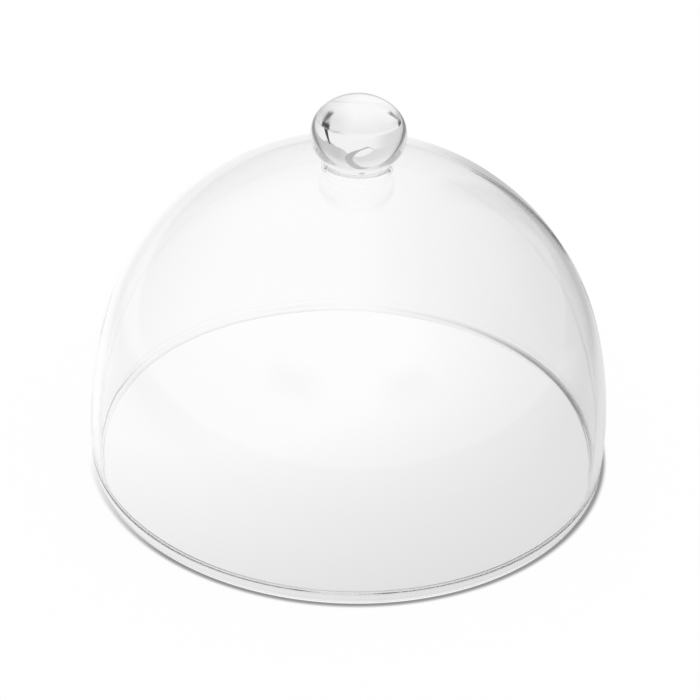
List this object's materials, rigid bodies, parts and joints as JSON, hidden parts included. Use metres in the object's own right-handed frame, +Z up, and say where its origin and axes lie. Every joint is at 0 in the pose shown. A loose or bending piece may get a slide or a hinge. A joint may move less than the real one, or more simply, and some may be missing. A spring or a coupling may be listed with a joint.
{
  "type": "glass food cover dome",
  "caption": "Clear blown-glass cloche with a rounded rim and a solid ball knob on its crown, for covering food on a buffet plate or stand.",
  "frame": {"origin": "on the dome's axis, in the plane of the ground flat that the rim stands on", "axes": "+Z up along the axis from rim to knob, -Y towards the viewer of the picture, +X to the viewer's right"},
  "size_m": [0.26, 0.26, 0.1986],
  "materials": {
    "dome_glass": "clear blown soda-lime glass, fire-polished rim",
    "knob_glass": "clear solid soda-lime glass, fire-polished"
  },
  "bodies": {
    "root": {"dome_shell": "dome_glass", "ball_knob": "knob_glass"}
  },
  "joints": []
}
